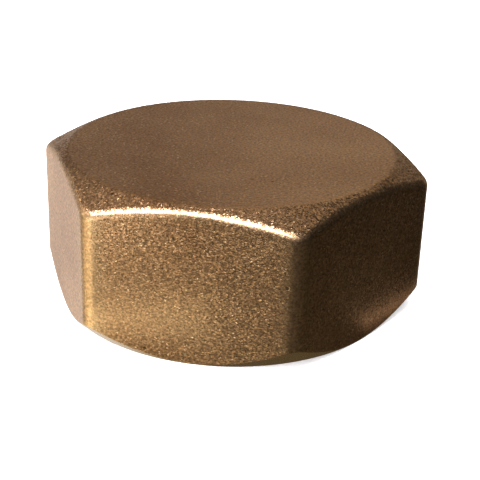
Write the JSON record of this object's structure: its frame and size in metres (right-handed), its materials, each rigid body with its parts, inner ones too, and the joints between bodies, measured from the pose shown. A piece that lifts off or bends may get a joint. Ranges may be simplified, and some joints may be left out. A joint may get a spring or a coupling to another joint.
{
  "type": "pipe cap",
  "caption": "Hexagonal brass screw cap, closed at one end, with an internal parallel pipe thread and a loose flat sealing washer against its inner seat.",
  "frame": {"origin": "centre of the mouth face, on the thread's axis", "axes": "+Z along the thread's axis, from the mouth to the closed end; +X towards one of the hexagon's upright edges; -Y towards one of its flats"},
  "size_m": [0.0422, 0.037, 0.0165],
  "materials": {
    "brass": "hot-forged and grit-blasted, satin with a fine sparkle; cut bright at the mouth, in the thread and on the seat",
    "rubber": "matt, die-cut, with a fine cloth mark on both faces"
  },
  "bodies": {
    "cap": {"cap_body": "brass"},
    "washer": {"sealing_washer": "rubber"}
  },
  "joints": [
    {"name": "washer_slide", "type": "slide", "parent": "cap", "child": "washer", "axis": [0, 0, -1], "range_m": [0, 0.0155]}
  ]
}
